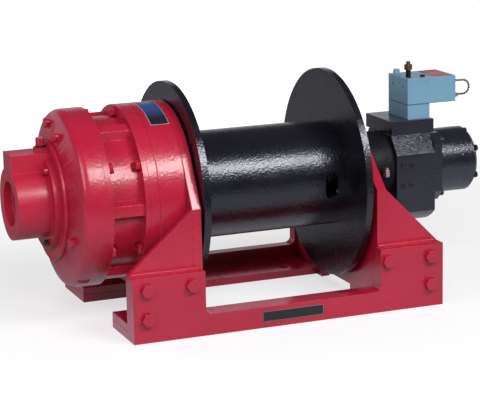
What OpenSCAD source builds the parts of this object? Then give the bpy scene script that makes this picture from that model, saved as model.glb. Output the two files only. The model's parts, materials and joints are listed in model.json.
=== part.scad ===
// Hydraulic planetary drum winch.
// X runs along the drum, from the gearbox (-X) to the motor (+X), and Z is up.
// The origin is the centre of the four base bolt holes, on the underside of the base.

/* [Base frame] */
// Gap between the gearbox casings and the gusset plates on each side
case_gap = 14; // [12:1:20]
// Gap between the drum's flanges and the ground
ground_gap = 29; // [25:1:37]
// Length of the base past the gearbox end plate
overhang_left = 126; // [122:1:140]
// Length of the base past the motor end plate
overhang_right = 107; // [104:1:120]
// Thickness of a side rail's upright plate
rail_t = 26; // [22:1:30]
// Height of a rail's tall ends
rail_end_h = 121; // [116:1:128]
// Height of a rail between its tall ends
rail_mid_h = 40; // [34:1:46]
// Radius in the two bottom corners of a rail's gap
rail_fillet_r = 12; // [8:1:16]
// Thickness of a foot plate
foot_t = 15; // [12:1:18]
// Width of a foot plate, from the rail's outer face inwards
foot_w = 127; // [120:1:134]
// Thickness of a foot pad, which stiffens a foot plate at each corner
pad_t = 15; // [12:1:16]
// Thickness of a gusset plate
gusset_t = 12; // [10:1:14]
// Thickness of an end plate
end_t = 18; // [16:1:20]
// How far the gearbox end plate's round top stands out over the casings
left_top_rise = 1; // [0:0.5:5]
// Radius of the motor end plate's round top
right_top_r = 130; // [122:1:140]
// Leg of the weld along the top of a rail
bead_leg = 5; // [3:0.5:6]

/* [Base bolt holes] */
// Distance between the bolt holes along the drum
mount_x = 244; // [230:1:260]
// Distance of a bolt hole from its foot plate's inner edge
mount_inset = 25; // [22:1:30]
// Diameter of a bolt hole
mount_d = 18; // [16:0.5:20]

/* [Rail bolts] */
// Diameter of a rail bolt's shank
rail_bolt_d = 12.7; // [10:0.1:13]
// Width across the flats of a rail bolt's head and nut
rail_bolt_af = 22; // [20:0.5:22.5]
// Height of a rail bolt's head and nut
rail_head_h = 10; // [8:0.5:11]
// Height of the upper row of rail bolts
bolt_row_hi = 98; // [94:1:102]
// Height of the lower row of rail bolts
bolt_row_lo = 44; // [44:1:48]
// Distance of the outer rail bolts from the base's end
bolt_end_gap = 27; // [24:1:32]
// Distance of the inner left rail bolts from the gearbox end plate
bolt_plate_gap = 13; // [13:0.5:16]

/* [Drum] */
// Width between the drum's flanges
drum_w = 310; // [300:1:330]
// Radius of the barrel
barrel_r = 102.5; // [98:0.5:106]
// Wall of the barrel
barrel_wall = 10; // [8:0.5:12]
// Radius of a flange
flange_r = 203; // [196:1:206]
// Thickness of a flange
flange_t = 13; // [11:0.5:15]
// Gap between the gearbox end plate and the drum
gap_left = 3; // [2:0.5:5]
// Gap between the motor end plate and the drum
gap_right = 12; // [11:0.5:16]
// Width of the rope's anchor hole, along the drum
anchor_w = 26; // [22:1:30]
// Height of the rope's anchor hole
anchor_h = 50; // [40:1:56]

/* [Gearbox] */
// Width of the casings' flanges, outside the roots of the ring gear's teeth
case_flange = 30.2; // [29.2:0.1:33.2]
// Length of the drum support, from the end plate to the ring gear
support_l = 68; // [66:1:76]
// Length of the ring gear casting
ring_l = 82; // [82:0.5:86]
// Thickness of the ring gear's outer flange
ring_flange_l = 12; // [11:0.5:15]
// Thickness of the ring gear's inner flange
ring_flange_r = 10; // [9:0.5:13]
// Wall of the ring gear casting between its flanges, outside the roots of the teeth
ring_wall = 10.2; // [9.2:0.1:11.2]
// Drop from the flanges to the lands between them
land_drop = 6; // [4:0.5:8]
// Width of a land on top
land_w = 20; // [16:0.5:24]
// Width of a land at its foot
land_foot = 34; // [28:0.5:38]
// Distance of a flange bolt from the casings' outside
bolt_edge = 12; // [11:0.5:12.5]
// Length of the end cover, without the rim's rounding
cover_l = 28; // [26:1:32]
// Rounding of the end cover's rim
cover_round = 17; // [14:0.5:18]
// Step in from the casings' outside to the end cover's flat nose
nose_set = 54; // [51:0.5:57]

/* [Gears] */
// Module of the gear teeth
gear_m = 4; // [3.9:0.05:4.1]
// Face width of the input stage's gears
stage_in_w = 26; // [22:0.5:27]
// Face width of the output stage's gears
stage_out_w = 34; // [32:0.5:35]
// Play of a gear tooth at its pitch circle
tooth_play = 0.32; // [0.28:0.02:0.4]
// Radius of the input shaft
shaft_r = 15; // [13:0.5:16]

/* [Clutch] */
// Radius of the clutch housing
hub_r = 68; // [64:0.5:72]
// Length of the clutch housing, from its flange
hub_l = 62; // [60:1:68]
// Wall of the clutch housing round its bore
hub_wall = 26; // [24:0.5:30]
// Stroke of the clutch piston
clutch_stroke = 10; // [8:0.5:10]

/* [Brake] */
// Radius of the brake housing
brake_r = 70; // [68:0.5:72]
// Length of the brake housing
brake_l = 81; // [80:0.5:86]
// Wall of the brake housing
brake_wall = 17; // [15:0.5:18]
// Number of rotating discs
disc_count = 3; // [2:1:3]
// Thickness of a brake disc or plate
disc_t = 4; // [3:0.25:4.25]
// Stroke of the brake piston
brake_stroke = 1.5; // [1:0.1:1.8]

/* [Motor] */
// Length of the motor adapter
adapter_l = 67; // [66:1:74]
// Thickness of the adapter's plate at the brake end of the motor
adapter_plate_t = 16; // [14:0.5:18]
// Half the width of the motor adapter
adapter_half_w = 76; // [74:0.5:78]
// Height of the adapter's top above the axis
adapter_top = 68; // [67.5:0.5:70]
// Radius of the adapter's round underside
adapter_low_r = 112; // [108:0.5:114]
// Length of the motor's flange
motor_flange_l = 18; // [16:0.5:20]
// Radius of the motor
motor_r = 64; // [62:0.5:66]
// Length of the motor's body
motor_l = 59; // [56:1:66]
// Length of the motor's end cap
motor_cap_l = 26; // [22:1:30]

/* [Valve] */
// Length of the lower valve block
valve_l = 48; // [44:1:52]
// Width of the valve blocks
valve_w = 86; // [80:1:92]
// Height of the lower valve block
valve_low_h = 29.5; // [26:0.5:33]
// Length of the upper valve block
valve_top_l = 105; // [98:1:110]
// Height of the upper valve block
valve_top_h = 51.5; // [48:0.5:56]
// Thickness of the manifold block
manifold_h = 27; // [24:0.5:30]

/* [Hidden] */

$fn = 96;
// One overrun for every cut
over = 1;
// Clearance round a piece that is seated in another
seat = 0.05;
// Running clearance of a shaft in its bore
run = 0.08;
// Gap between parts that stand still against each other's faces
face = 0.3;

// Gear counts
sun_z = 18;
planet_z = 24;
ring_z = sun_z + 2 * planet_z;
planets = 3;
pressure = 20;
// Heights of a tooth above and below its pitch circle, in modules
addendum_share = 0.8;
dedendum_share = 1.2;
planet_orbit = gear_m * (sun_z + planet_z) / 2;
tooth_root = gear_m * (ring_z / 2 + dedendum_share);
// The whole train is turned so that one planet is on top
train_turn = 90;

// Radii of the casings, and the frame's width and height that follow from what it carries
case_r = tooth_root + case_flange;
ring_core_r = tooth_root + ring_wall;
land_r = case_r - land_drop;
case_bolt_r = case_r - bolt_edge;
nose_r = case_r - nose_set;
left_top_r = case_r + left_top_rise;
base_w = 2 * (case_r + case_gap + gusset_t + rail_t);
axis_h = flange_r + ground_gap;

// Stations along the drum
span = 2 * end_t + gap_left + gap_right + drum_w + 2 * flange_t;
base_l = overhang_left + span + overhang_right;
base_x0 = -base_l / 2;
base_x1 = base_l / 2;
lp_out = base_x0 + overhang_left;
lp_in = lp_out + end_t;
drum_x0 = lp_in + gap_left;
barrel_x0 = drum_x0 + flange_t;
barrel_x1 = barrel_x0 + drum_w;
drum_x1 = barrel_x1 + flange_t;
rp_in = drum_x1 + gap_right;
rp_out = rp_in + end_t;

// Frame
half_w = base_w / 2;
rail_in = half_w - rail_t;
gusset_in = rail_in - gusset_t;
foot_in = half_w - foot_w;
mount_y = 2 * (foot_in + mount_inset);
// How far the rails' gap sits toward the gearbox, from the end plates' inner faces
gap_shift = 5;
gap_x0 = lp_in - gap_shift;
gap_x1 = rp_in - gap_shift;
// Drop of an end plate's shoulder below the axis
shoulder_drop = 2;
// Relief between the feet, under an end plate
relief_step = 24;
relief_half = foot_in - relief_step;
relief_h = 18;

// Rail bolts
bolt_r = rail_bolt_d / 2;
hex_out = 1 / cos(30);
bolt_xs = [base_x0 + bolt_end_gap, lp_out - bolt_plate_gap, rp_out - end_t / 2, base_x1 - bolt_end_gap];
// Depth of the inner right bolts in the end plate's edge
edge_bolt_depth = 32;
hole_play = 0.5;

// Gearbox stations
ring_x1 = lp_out - support_l;
ring_x0 = ring_x1 - ring_l;
rim_x = ring_x0 - cover_l;
// Slope of the end cover's face, in degrees
cover_slope = 19.4;
nose_x = rim_x - cover_round * cos(cover_slope)
    - (case_r - cover_round * (1 - sin(cover_slope)) - nose_r) * tan(cover_slope);

// Axial places in the gearbox
gear_end_gap = 4;
plate_gap = 2;
in_x0 = ring_x0 + gear_end_gap;
in_x1 = in_x0 + stage_in_w;
inplate_x0 = in_x1 + plate_gap;
inplate_t = 8;
inplate_x1 = inplate_x0 + inplate_t;
in_pin_r = 10;
// Width of a carrier plate outside its pins
plate_margin = 14;
inplate_r = planet_orbit + in_pin_r + plate_margin;
washer_gap = 3;
out_x0 = inplate_x1 + washer_gap;
out_x1 = out_x0 + stage_out_w;
outplate_x0 = out_x1 + washer_gap;
outplate_t = 14;
outplate_x1 = outplate_x0 + outplate_t;
out_pin_r = 12;
outplate_r = planet_orbit + out_pin_r + plate_margin;
// Inside of the barrel, and the ring in it that the carrier's tube drives
barrel_in = barrel_r - barrel_wall;
drive_ring = 32.5;
tube_wall = 12;
hub_tube_r = barrel_in - drive_ring;
hub_tube_in = hub_tube_r - tube_wall;
// How far the hub's tube reaches into the barrel
hub_tube_past = 30;
hub_tube_x1 = barrel_x0 + hub_tube_past;
shaft_gap = 3;
support_floor = outplate_x1 + gear_end_gap;
// Bush round the carrier's tube, the boss round it, and the web and wall of the drum support
bush_t = 8;
bush_end = 2;
boss_wall = 16;
support_web = 16;
bolt_wall = 7;
support_bore_r = hub_tube_r + bush_t;
boss_r = support_bore_r + boss_wall;
bore_step = 4;
plate_bore_r = support_bore_r + bore_step;
// Fine groove round the drum support
crease_gap = 50;
crease_x = lp_out - crease_gap;
crease_w = 1.5;
crease_depth = 1.2;

// Flange bolts of the gearbox casings
case_bolt = 5;
case_bolt_af = 17;
case_head_h = 8;
case_bolt_reach = 20;
support_wall_r = case_bolt_r - case_bolt - bolt_wall;
lands = 6;
// Room round a bolt's head, cut into the casting's floor
notch_play = 2;
notch_r = case_bolt_af / 2 * hex_out + notch_play;
notch_l = 13;

// End cover
cover_step = 3.2;
cover_wall_r = tooth_root + cover_step;
cover_inner_depth = 20;
cover_wall = 14;
nose_width = 53;
cover_bore_r = nose_r - nose_width;
plug_r = 6.5;
plug_af = 17;
plug_h = 9;
plug_shank = 12;
// Circle and angle from the front of each hex plug in the cover's face
plug_low_in = 36;
plug_high_in = 24;
plug_low_circle = case_r - plug_low_in;
plug_high_circle = case_r - plug_high_in;
plug_places = [[plug_low_circle, 72], [plug_low_circle, -26], [plug_high_circle, 101]];
// Two shallow scallops low on the cover's rim
scallop_r = 13;
scallop_depth = 5;
scallop_angles = [-56, -76];

// Clutch
retainer_t = 5;
retainer_x0 = nose_x - retainer_t;
retainer_spigot = 9;
// How far the flange, its screws and the block stand out over the clutch housing
hub_flange_out = 22;
hub_screw_out = 12;
hub_block_out = 26;
hub_boss_out = 7;
hub_flange_r = hub_r + hub_flange_out;
hub_screw_r = hub_r + hub_screw_out;
hub_bore_r = hub_r - hub_wall;
hub_flange_t = 11;
hub_flange_x0 = retainer_x0 - hub_flange_t;
hub_x0 = hub_flange_x0 - hub_l;
hub_bore_l = 48;
hub_floor = hub_x0 + hub_bore_l;
hub_block_half = 30;
hub_block_top = hub_r + hub_block_out;
hub_boss_half = 14;
hub_boss_top = hub_block_top + hub_boss_out;
hub_boss_l = 20;
hub_screw = 4;
hub_screw_head_r = 6.5;
hub_screw_head_h = 8;
hub_screw_reach = 10;
hub_screw_count = 3;
hub_screw_first = 54;
hub_screw_pitch = -120;
piston_l = 16;
// Room left in front of the piston at the end of its stroke
piston_room = 2;
piston_face = clutch_stroke + piston_room;
piston_dish_r = 24;
piston_dish = 7;
seal_w = 4;
seal_deep = 3;
rod_r = 10;
spring_t = 2;
spring_count = 4;
// Room inside and outside a stack of disc springs
spring_play = 5;

// Port plug on top of the clutch housing
port_washer_r = 9.4;
port_washer_t = 3;
port_plug_af = 15;
port_plug_h = 15;
port_r = 5;
port_deep = 18;

// Drum
// How far the web starts inside the barrel's end
web_set_in = 10;
web_x0 = barrel_x1 - web_set_in;
web_t = 18;
spigot_wall = 30;
drum_bush_t = 7;
spigot_flange_w = 4;
spigot_r = shaft_r + spigot_wall;
drum_bush_r = spigot_r + drum_bush_t;
spigot_flange_r = spigot_r + spigot_flange_w;
spigot_flange_t = 8;
spigot_end_gap = 10;
drive_hub_t = 20;
anchor_x = barrel_x1 - anchor_w;
anchor_low = 6;
anchor_flat = 2;
anchor_round = (anchor_w - anchor_flat) / 2;
anchor_edge = anchor_x + anchor_w / 2;
// Screw through the flange that pinches the rope's end, at an angle up from the front
anchor_screw_r = 3.5;
anchor_screw_out = 2.5;
anchor_screw_angle = -11.6;

// Brake
brake_x1 = rp_out + brake_l;
brake_floor = 8;
brake_cavity_r = brake_r - brake_wall;
disc_gap = 0.3;
disc_pitch = 2 * (disc_t + disc_gap);
pack_gap = 3;
pack_x0 = rp_out + brake_floor + pack_gap;
pack_x1 = pack_x0 + disc_count * disc_pitch + disc_t;
spline_r = 24;
disc_in = spline_r + seat;
// Room round the discs, and between the spline and the plates
disc_room = 8;
plate_room = 6;
disc_out = brake_cavity_r - disc_room;
plate_in = spline_r + plate_room;
brake_piston_t = 14;
brake_spring_t = 3;
piston_x0 = pack_x1 + disc_gap;
piston_x1 = piston_x0 + brake_piston_t;
brake_screw_in = 9.5;
brake_screw_circle = brake_r - brake_screw_in;
brake_screw_r = 5;
brake_screw_head_r = 7.5;
brake_screw_head_h = 6;
brake_screw_reach = 18;
brake_screw_count = 6;
fitting_gap = 57;
fitting_x = rp_out + fitting_gap;
fitting_z = 2;
fitting_af = 12;
fitting_h = 14;
fitting_nipple_r = 4;
fitting_nipple_h = 4;
fitting_stem_r = 5;
fitting_stem_l = 3;

// Motor adapter, plate and manifold
adapter_x1 = brake_x1 + adapter_l;
// Height and width of the slope at the adapter's shoulders, and the roof over its cavity
slope_h = 35;
slope_w = 26;
adapter_roof = 10;
adapter_side = adapter_top - slope_h;
adapter_top_half = adapter_half_w - slope_w;
adapter_cavity_r = adapter_top - adapter_roof;
adapter_wall = 9;
plate_x1 = adapter_x1 + adapter_plate_t;
plug_row_x = [14, 32];
plug_row_z = [-28, 12];
adapter_plug_r = 5;
adapter_plug_out = 1.5;
adapter_plug_in = 8;
manifold_gap = 2;
manifold_past = 18;
manifold_l = 91;
manifold_x0 = brake_x1 + manifold_gap;
manifold_z = axis_h + adapter_top;
manifold_front = adapter_top_half;
manifold_rear = adapter_top_half + manifold_past;
port_hole_r = 9.3;
port_hole_deep = 20;
port_hole_x = 26;
port_hole_pitch = 36;

// Motor
flange_side = 4;
flange_half_w = adapter_half_w - flange_side;
flange_step = 1;
flange_half_h = adapter_top - flange_step;
flange_cut = 20;
motor_x0 = plate_x1 + motor_flange_l;
motor_x1 = motor_x0 + motor_l;
motor_end = motor_x1 + motor_cap_l;
motor_wall = 8;
motor_case = 18;
vane_room = 6;
chamber_r = motor_r - motor_case;
rotor_r = chamber_r - vane_room;
vane_count = 8;
vane_t = 3;
vane_gap = 0.4;
vane_depth = 9;
motor_shaft_r = 12;
motor_shaft_end = 10;
// Where the input shaft ends and takes the motor's shaft
joint_gap = 34;
joint_x = brake_x1 + joint_gap;
socket_l = 24;
flange_bolt_r = 5;
flange_bolt_edge = 15;
flange_bolt_y = flange_half_w - flange_bolt_edge;
flange_bolt_z = flange_half_h - flange_bolt_edge;
flange_bolt_reach = 12;
motor_head_r = 7.5;
motor_head_h = 8;
cap_bolt_count = 6;
cap_bolt_edge = 10;
cap_bolt_r = motor_r - cap_bolt_edge;
cap_bolt = 3.5;
cap_bolt_af = 11;
cap_head_h = 5;
cap_round = 7;

// Valve
valve_gap = 38;
valve_x0 = manifold_x0 + valve_gap;
valve_z0 = manifold_z + manifold_h;
valve_z1 = valve_z0 + valve_low_h;
valve_z2 = valve_z1 + valve_top_h;
valve_half = valve_w / 2;
test_port_r = 2;
test_port_deep = 6;
test_ports = [[24, -17], [-21, -18]];
nub_l = 13;
nub_w = 9;
nub_h = 8;
nub_x = 16;
stem_x = 10;
stem_y = -25;
stem_r = 5;
stem_h = 16;
stem_head_af = 15;
stem_head_h = 10;
stem_tip_r = 4;
stem_tip_h = 6;
cap_x = 40;
cap_y = -27;
cap_r = 5;
cap_h = 4;
chain_out = 46;
chain_y = -12;
chain_z0 = 16;
chain_z1 = 44;
chain_ball_r = 2.4;
chain_play = 0.1;
tag_l = 15;
tag_t = 2;
tag_h = 9;

// Colours
red = [0.69, 0.16, 0.22];
black = [0.11, 0.11, 0.12];
steel = [0.62, 0.63, 0.65];
bronze = [0.66, 0.50, 0.27];
blue = [0.49, 0.65, 0.75];

// A flat outline in Y and Z from the axis, made solid from x along X
module along(x, l) {
    translate([x, 0, axis_h])
        rotate([90, 0, 90])
            linear_extrude(l)
                children();
}

// A profile of [radius, x] points turned about the axis
module turned(points) {
    translate([0, 0, axis_h])
        rotate([90, 0, 90])
            rotate_extrude()
                polygon(points);
}

// A round bar or bore about the axis
module bar(r, x0, x1) {
    along(x0, x1 - x0) circle(r);
}

// A ring about the axis
module ring(r_in, r_out, x0, x1) {
    turned([[r_in, x0], [r_out, x0], [r_out, x1], [r_in, x1]]);
}

// Places a child on a circle round the axis, at an angle up from the front
module on_circle(r, angle) {
    translate([0, -r * cos(angle), r * sin(angle)])
        children();
}

// A round bar along X, away from the axis
module rod_x(r, x0, x1) {
    translate([x0, 0, axis_h])
        rotate([0, 90, 0])
            cylinder(r = r, h = x1 - x0);
}

// A hexagonal bar along X, given across its flats
module hex_x(af, x0, x1) {
    translate([x0, 0, axis_h])
        rotate([0, 90, 0])
            cylinder(r = af / 2 * hex_out, h = x1 - x0, $fn = 6);
}

// A flat outline in X and Z, made solid from y along +Y
module along_y(y, l) {
    translate([0, y + l, 0])
        rotate([90, 0, 0])
            linear_extrude(l)
                children();
}

// The same thing at the front and mirrored at the rear
module both_sides() {
    children();
    mirror([0, 1, 0]) children();
}

// Involute of a radius on a base circle, in degrees
function involute(r, rb) =
    r <= rb ? 0 : let (t = sqrt(pow(r / rb, 2) - 1)) t * 180 / PI - atan(t);

// Half the angle of a tooth at a radius; play thins it and a negative play widens it
function tooth_half(z, r, play) =
    let (rp = gear_m * z / 2, rb = rp * cos(pressure))
    90 / z - play / rp / 2 * 180 / PI + involute(rp, rb) - involute(r, rb);

// Outline of a gear, with its first tooth along +X
function gear_points(z, r_root, r_tip, play) =
    let (steps = 3)
    [for (k = [0 : z - 1], s = [0 : 2 * steps + 1])
        let (up = s <= steps,
             r = up ? r_root + (r_tip - r_root) * s / steps
                    : r_tip - (r_tip - r_root) * (s - steps - 1) / steps,
             half = tooth_half(z, r, play),
             a = k * 360 / z + (up ? -half : half))
        r * [cos(a), sin(a)]];

module gear_2d(z) {
    rp = gear_m * z / 2;
    polygon(gear_points(z, rp - dedendum_share * gear_m, rp + addendum_share * gear_m, tooth_play));
}

module ring_teeth_2d() {
    rp = gear_m * ring_z / 2;
    rotate(train_turn + 180 / ring_z)
        polygon(gear_points(ring_z, rp - addendum_share * gear_m, rp + dedendum_share * gear_m, -tooth_play));
}

module sun_2d() {
    rotate(train_turn) gear_2d(sun_z);
}

module planet_at(i, x, w, bore_r) {
    turn = i * 360 / planets;
    along(x, w)
        rotate(train_turn + turn)
            translate([planet_orbit, 0])
                difference() {
                    rotate(turn * sun_z / planet_z + 180 + 180 / planet_z) gear_2d(planet_z);
                    circle(bore_r);
                }
}

// Base frame

module rail_outline() {
    r = rail_fillet_r;
    difference() {
        translate([base_x0, 0]) square([base_l, rail_end_h]);
        translate([gap_x0, rail_mid_h + r]) square([gap_x1 - gap_x0, rail_end_h]);
        translate([gap_x0 + r, rail_mid_h]) square([gap_x1 - gap_x0 - 2 * r, r + over]);
        translate([gap_x0 + r, rail_mid_h + r]) circle(r);
        translate([gap_x1 - r, rail_mid_h + r]) circle(r);
    }
}

module rail_bolt_places(xs, zs) {
    for (x = xs, z = zs)
        translate([x, -half_w, z])
            rotate([-90, 0, 0])
                children();
}

module rail_holes(depth) {
    rail_bolt_places(bolt_xs, [bolt_row_hi])
        translate([0, 0, -over]) cylinder(r = bolt_r + hole_play, h = depth + over);
    rail_bolt_places([bolt_xs[0], bolt_xs[3]], [bolt_row_lo])
        translate([0, 0, -over]) cylinder(r = bolt_r + hole_play, h = depth + over);
}

module rail() {
    color(red)
        difference() {
            union() {
                along_y(-half_w, rail_t) rail_outline();
                translate([base_x0, -half_w, 0]) cube([base_l, foot_w, foot_t]);
            }
            rail_holes(rail_t + over);
            for (side = [-1, 1])
                translate([side * mount_x / 2, -mount_y / 2, -over])
                    cylinder(d = mount_d, h = foot_t + 2 * over);
        }
}

module front_rail() {
    rail();
}

module rear_rail() {
    mirror([0, 1, 0]) rail();
}

// Half width of an end plate, and where its straight side meets the round top
function tangent_point(r) =
    let (d = norm([rail_in, shoulder_drop]),
         a = acos(r / d) - atan(shoulder_drop / rail_in))
    r * [cos(a), sin(a)];

module end_plate_2d(top_r) {
    t = tangent_point(top_r);
    circle(top_r);
    polygon([
        [-rail_in, foot_t - axis_h], [-foot_in, foot_t - axis_h], [-foot_in, -axis_h],
        [-relief_half, -axis_h], [-relief_half, relief_h - axis_h],
        [relief_half, relief_h - axis_h], [relief_half, -axis_h],
        [foot_in, -axis_h], [foot_in, foot_t - axis_h], [rail_in, foot_t - axis_h],
        [rail_in, -shoulder_drop], t, [-t[0], t[1]], [-rail_in, -shoulder_drop]
    ]);
}

module left_end_plate() {
    color(red)
        difference() {
            along(lp_out, end_t) end_plate_2d(left_top_r);
            bar(plate_bore_r, lp_out - over, lp_in + over);
        }
}

module right_end_plate() {
    color(red)
        difference() {
            along(rp_in, end_t) end_plate_2d(right_top_r);
            bar(spigot_r + seat, rp_in - over, rp_out + over);
            brake_screw_places()
                rod_x(brake_screw_r + hole_play, rp_in - over, rp_out + over);
            both_sides()
                rail_bolt_places([bolt_xs[2]], [bolt_row_hi])
                    cylinder(r = bolt_r + seat, h = rail_t + edge_bolt_depth);
        }
}

module gusset(x_end, x_plate) {
    along_y(-rail_in, gusset_t)
        polygon([[x_end, foot_t], [x_end, rail_end_h], [x_plate, axis_h - shoulder_drop], [x_plate, foot_t]]);
}

module gussets() {
    color(red)
        both_sides()
            difference() {
                union() {
                    gusset(base_x0, lp_out);
                    gusset(base_x1, rp_out);
                }
                rail_holes(rail_t + gusset_t + over);
            }
}

module foot_pads() {
    color(red)
        both_sides()
            for (x = [[base_x0, lp_out], [rp_out, base_x1]])
                translate([x[0], -gusset_in, foot_t])
                    cube([x[1] - x[0], gusset_in - foot_in, pad_t]);
}

module weld_bead(x0, x1) {
    translate([x0, -rail_in, rail_end_h])
        rotate([90, 0, 90])
            linear_extrude(x1 - x0)
                polygon([[0, 0], [-bead_leg, 0], [-bead_leg / 2, bead_leg * 0.7], [0, bead_leg]]);
}

module weld_beads() {
    color(red)
        both_sides() {
            weld_bead(base_x0 + bead_leg, gap_x0);
            weld_bead(rp_in, base_x1 - bead_leg);
        }
}

module rail_bolt(depth) {
    translate([0, 0, -rail_head_h])
        cylinder(r = rail_bolt_af / 2 * hex_out, h = rail_head_h, $fn = 6);
    translate([0, 0, -rail_head_h / 2])
        cylinder(r = bolt_r, h = depth + rail_head_h / 2);
}

module rail_bolts() {
    through = rail_t + gusset_t + rail_head_h + hole_play;
    color(red)
        both_sides() {
            rail_bolt_places([bolt_xs[0], bolt_xs[1], bolt_xs[3]], [bolt_row_hi]) rail_bolt(through);
            rail_bolt_places([bolt_xs[0], bolt_xs[3]], [bolt_row_lo]) rail_bolt(through);
            rail_bolt_places([bolt_xs[2]], [bolt_row_hi]) rail_bolt(rail_t + edge_bolt_depth - hole_play);
        }
}

module rail_nut() {
    translate([0, 0, rail_t + gusset_t])
        difference() {
            rotate(30) cylinder(r = rail_bolt_af / 2 * hex_out, h = rail_head_h, $fn = 6);
            translate([0, 0, -over]) cylinder(r = bolt_r + seat, h = rail_head_h + 2 * over);
        }
}

module rail_nuts() {
    color(red)
        both_sides() {
            rail_bolt_places([bolt_xs[0], bolt_xs[1], bolt_xs[3]], [bolt_row_hi]) rail_nut();
            rail_bolt_places([bolt_xs[0], bolt_xs[3]], [bolt_row_lo]) rail_nut();
        }
}

// Gearbox

module case_bolt_places() {
    for (k = [0 : lands - 1])
        on_circle(case_bolt_r, (k + 0.5) * 360 / lands) children();
}

module drum_support() {
    color(red)
        difference() {
            turned([
                [support_bore_r, support_floor], [boss_r, support_floor],
                [boss_r, lp_out - support_web], [support_wall_r, lp_out - support_web],
                [support_wall_r, ring_x1], [case_r, ring_x1],
                [case_r, crease_x - crease_w], [case_r - crease_depth, crease_x],
                [case_r, crease_x + crease_w], [case_r, lp_out], [support_bore_r, lp_out]
            ]);
            case_bolt_places()
                rod_x(case_bolt + seat, ring_x1 - over, ring_x1 + case_bolt_reach + over);
        }
}

module carrier_bush() {
    color(bronze)
        ring(hub_tube_r + run, support_bore_r - seat, support_floor + bush_end, lp_out - bush_end);
}

module land_2d() {
    foot = land_foot / 2;
    top = land_w / 2;
    polygon([[0, -foot], [ring_core_r, -foot], [land_r, -top],
             [land_r, top], [ring_core_r, foot], [0, foot]]);
}

module ring_gear() {
    core_x0 = ring_x0 + ring_flange_l;
    core_x1 = ring_x1 - ring_flange_r;
    color(red)
        difference() {
            union() {
                bar(case_r, ring_x0, core_x0);
                bar(ring_core_r, ring_x0, ring_x1);
                bar(case_r, core_x1, ring_x1);
                along(core_x0 - over, core_x1 - core_x0 + 2 * over)
                    intersection() {
                        circle(land_r);
                        for (k = [0 : lands - 1])
                            rotate(k * 360 / lands) land_2d();
                    }
            }
            along(ring_x0 - over, ring_l + 2 * over) ring_teeth_2d();
            case_bolt_places() {
                rod_x(case_bolt + hole_play, ring_x0 - over, ring_x1 + over);
                rod_x(notch_r, core_x0, core_x0 + notch_l);
                rod_x(notch_r, core_x1 - notch_l, core_x1);
            }
        }
}

module case_bolts() {
    core_x0 = ring_x0 + ring_flange_l;
    core_x1 = ring_x1 - ring_flange_r;
    color(red)
        case_bolt_places() {
            hex_x(case_bolt_af, core_x0, core_x0 + case_head_h);
            rod_x(case_bolt, ring_x0 - case_bolt_reach, core_x0 + case_head_h / 2);
            hex_x(case_bolt_af, core_x1 - case_head_h, core_x1);
            rod_x(case_bolt, core_x1 - case_head_h / 2, ring_x1 + case_bolt_reach);
        }
}

// Rim of the end cover: an arc that runs into the sloping face
function cover_rim() =
    [for (s = [0 : 6])
        let (a = s * (90 - cover_slope) / 6)
        [case_r - cover_round + cover_round * cos(a), rim_x - cover_round * sin(a)]];

// Where the end cover's sloping face lies at a radius
function cover_face(r) = nose_x + (r - nose_r) * tan(cover_slope);

module end_cover() {
    deep = ring_x0 - cover_inner_depth;
    inner = nose_x + cover_wall;
    color(red)
        difference() {
            turned(concat(
                [[cover_wall_r, ring_x0], [case_r, ring_x0]],
                cover_rim(),
                [[nose_r, nose_x], [cover_bore_r, nose_x], [cover_bore_r, inner],
                 [nose_r, inner], [cover_wall_r, deep]]
            ));
            case_bolt_places()
                rod_x(case_bolt + seat, ring_x0 - case_bolt_reach - over, ring_x0 + over);
            hub_screw_places()
                rod_x(hub_screw + seat, nose_x - over, nose_x + hub_screw_reach);
            for (p = plug_places)
                on_circle(p[0], p[1])
                    rod_x(plug_r + seat, nose_x - over, cover_face(p[0]) + plug_shank + over);
            for (a = scallop_angles)
                on_circle(case_r + scallop_r - scallop_depth, a)
                    rod_x(scallop_r, rim_x - 2 * cover_round, rim_x + cover_l / 3);
        }
}

module cover_plugs() {
    color(red)
        for (p = plug_places)
            let (foot = cover_face(p[0]))
            on_circle(p[0], p[1]) {
                hex_x(plug_af, foot - plug_h, foot - plug_h / 2);
                rod_x(plug_r, foot - 0.75 * plug_h, foot + plug_shank);
            }
}

module hub_screw_places() {
    for (k = [0 : hub_screw_count - 1])
        on_circle(hub_screw_r, hub_screw_first + k * hub_screw_pitch) children();
}

module retainer_plate() {
    color(red)
        difference() {
            union() {
                bar(nose_r, retainer_x0, nose_x);
                bar(cover_bore_r - seat, retainer_x0, nose_x + retainer_spigot);
            }
            bar(rod_r + run, retainer_x0 - over, nose_x + retainer_spigot + over);
            hub_screw_places()
                rod_x(hub_screw + hole_play, retainer_x0 - over, nose_x + over);
        }
}

module clutch_housing() {
    color(red)
        difference() {
            union() {
                bar(hub_flange_r, hub_flange_x0, retainer_x0);
                bar(hub_r, hub_x0, retainer_x0);
                translate([hub_x0, -hub_block_half, axis_h])
                    cube([retainer_x0 - hub_x0, 2 * hub_block_half, hub_block_top]);
                translate([retainer_x0 - hub_boss_l, -hub_boss_half, axis_h])
                    cube([hub_boss_l, 2 * hub_boss_half, hub_boss_top]);
            }
            bar(hub_bore_r, hub_x0 - over, hub_floor);
            bar(rod_r + run, hub_floor - over, retainer_x0 + over);
            hub_screw_places()
                rod_x(hub_screw + hole_play, hub_flange_x0 - over, retainer_x0 + over);
            port_place()
                translate([0, 0, -port_deep]) cylinder(r = port_r + seat, h = port_deep + over);
        }
}

module hub_screws() {
    color(black)
        hub_screw_places()
            difference() {
                union() {
                    rod_x(hub_screw_head_r, hub_flange_x0 - hub_screw_head_h, hub_flange_x0);
                    rod_x(hub_screw, hub_flange_x0 - over, nose_x + hub_screw_reach - over);
                }
                hex_x(hub_screw_head_r, hub_flange_x0 - hub_screw_head_h - over,
                      hub_flange_x0 - hub_screw_head_h / 2);
            }
}

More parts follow.
